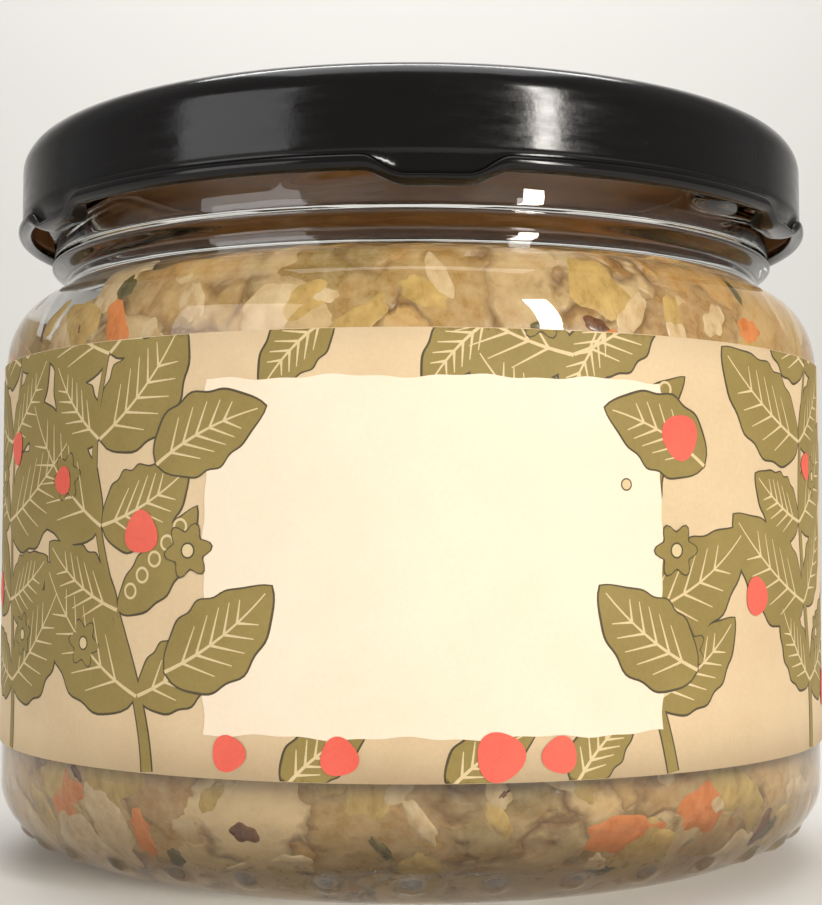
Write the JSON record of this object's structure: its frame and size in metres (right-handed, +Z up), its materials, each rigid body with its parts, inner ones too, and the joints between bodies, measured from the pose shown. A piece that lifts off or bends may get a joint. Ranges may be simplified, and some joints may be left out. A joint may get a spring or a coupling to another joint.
{
  "type": "kimchi jar",
  "caption": "Squat glass jar of chopped pale kimchi with a black twist-off metal cap and a wrap-round paper label.",
  "frame": {"origin": "centre of the ring that the jar stands on", "axes": "+Z up along the jar's axis, the middle of the label faces -Y, +X to the right seen from the front"},
  "size_m": [0.0884, 0.0884, 0.0749],
  "materials": {
    "clear_glass": "clear flint glass, smooth, with moulded grip dots",
    "black_lacquer": "gloss black lacquer on tinplate",
    "gold_lacquer": "gold inside lacquer on tinplate",
    "label_paper": "uncoated beige label paper",
    "panel_paper": "cream label paper",
    "leaf_print": "olive green print",
    "line_print": "fine dark line print",
    "spot_print": "coral red print",
    "cabbage": "wet pale yellow chopped cabbage in brine",
    "carrot": "wet orange carrot",
    "greens": "wet dark green onion and pepper"
  },
  "bodies": {
    "root": {"glass_jar": "clear_glass", "metal_cap": "black_lacquer", "paper_label": "label_paper", "cabbage_fill": "cabbage"}
  },
  "joints": []
}
